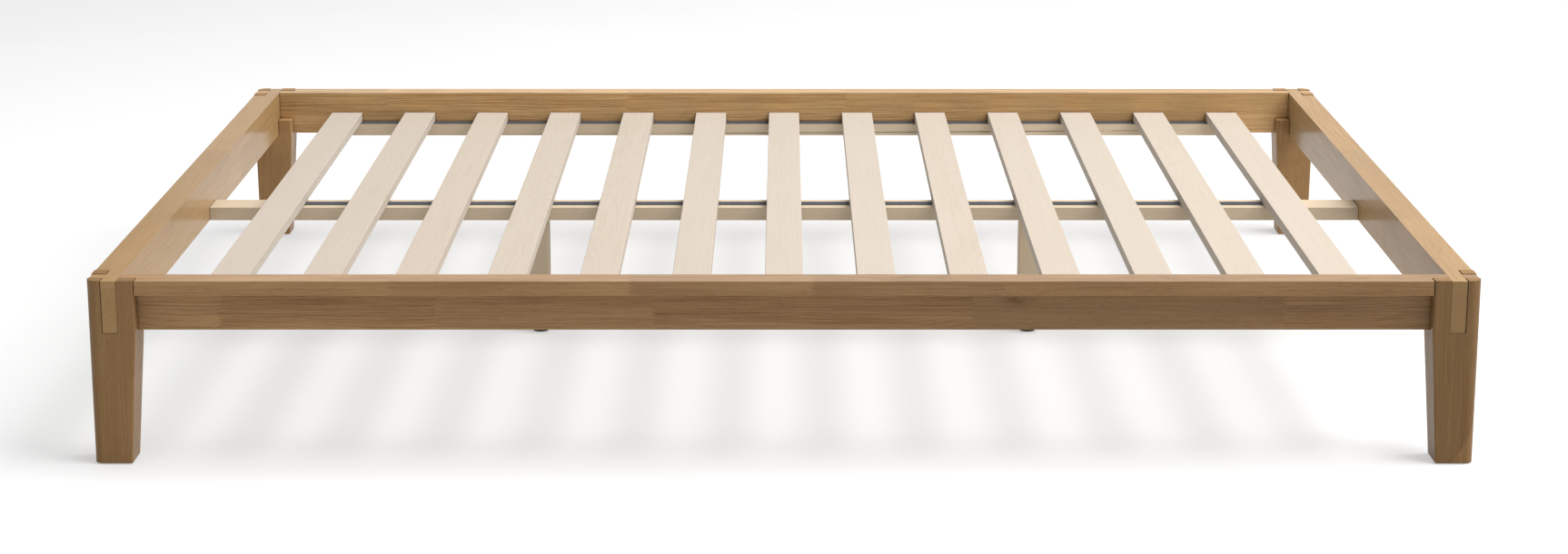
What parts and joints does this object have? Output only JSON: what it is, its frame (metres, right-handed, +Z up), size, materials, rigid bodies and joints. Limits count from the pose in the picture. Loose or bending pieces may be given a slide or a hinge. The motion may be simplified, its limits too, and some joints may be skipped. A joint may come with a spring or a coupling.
{
  "type": "platform bed frame",
  "caption": "Low platform bed frame in solid wood with half-lapped rails in slotted legs, loose flat slats, and a centre beam on levelling feet.",
  "frame": {"origin": "on the floor, at the middle of the frame's outline", "axes": "+X along the side rails to the right, +Y from the front side to the rear side, +Z up"},
  "size_m": [2.136, 1.628, 0.293],
  "materials": {
    "rail_wood": "warm brown hardwood, laminated and finger-jointed, satin clear lacquer",
    "slat_wood": "pale close-grained wood, planed, unfinished",
    "beam_wood": "light wood, planed, thin clear finish",
    "dowel_wood": "plain turned wood",
    "tape_fabric": "dark grey woven tape",
    "foot_plastic": "black moulded",
    "pad_felt": "pressed felt",
    "zinc_steel": "zinc plated",
    "brass": "plain, machined"
  },
  "bodies": {
    "frame": {"front_rail": "rail_wood", "rear_rail": "rail_wood", "left_end_rail": "rail_wood", "right_end_rail": "rail_wood", "leg_front_left": "rail_wood", "leg_front_right": "rail_wood", "leg_rear_right": "rail_wood", "leg_rear_left": "rail_wood", "leg_pad_front_left": "pad_felt", "leg_pad_front_right": "pad_felt", "leg_pad_rear_right": "pad_felt", "leg_pad_rear_left": "pad_felt", "front_ledge": "beam_wood", "rear_ledge": "beam_wood", "centre_beam": "beam_wood", "centre_leg_left": "beam_wood", "centre_leg_right": "beam_wood", "foot_insert_left": "brass", "foot_insert_right": "brass", "beam_bolt_left": "zinc_steel", "beam_bolt_right": "zinc_steel", "beam_insert_left": "brass", "beam_insert_right": "brass", "beam_dowel_left_1": "dowel_wood", "beam_dowel_left_2": "dowel_wood", "beam_dowel_right_1": "dowel_wood", "beam_dowel_right_2": "dowel_wood", "front_ledge_screw_1": "zinc_steel", "front_ledge_screw_2": "zinc_steel", "front_ledge_screw_3": "zinc_steel", "front_ledge_screw_4": "zinc_steel", "front_ledge_screw_5": "zinc_steel", "rear_ledge_screw_1": "zinc_steel", "rear_ledge_screw_2": "zinc_steel", "rear_ledge_screw_3": "zinc_steel", "rear_ledge_screw_4": "zinc_steel", "rear_ledge_screw_5": "zinc_steel"},
    "slat_deck": {"slat_01": "slat_wood", "slat_02": "slat_wood", "slat_03": "slat_wood", "slat_04": "slat_wood", "slat_05": "slat_wood", "slat_06": "slat_wood", "slat_07": "slat_wood", "slat_08": "slat_wood", "slat_09": "slat_wood", "slat_10": "slat_wood", "slat_11": "slat_wood", "slat_12": "slat_wood", "slat_13": "slat_wood", "slat_tape_front": "tape_fabric", "slat_tape_middle": "tape_fabric", "slat_tape_rear": "tape_fabric"},
    "left_foot": {"levelling_foot_left": "foot_plastic", "foot_stud_left": "zinc_steel"},
    "right_foot": {"levelling_foot_right": "foot_plastic", "foot_stud_right": "zinc_steel"}
  },
  "joints": [
    {"name": "slat_deck_lift", "type": "slide", "parent": "frame", "child": "slat_deck", "axis": [0, 0, 1], "range_m": [0, 0.15]},
    {"name": "left_foot_adjust", "type": "slide", "parent": "frame", "child": "left_foot", "axis": [0, 0, -1], "range_m": [-0.0055, 0.009]},
    {"name": "right_foot_adjust", "type": "slide", "parent": "frame", "child": "right_foot", "axis": [0, 0, -1], "range_m": [-0.0055, 0.009]}
  ]
}
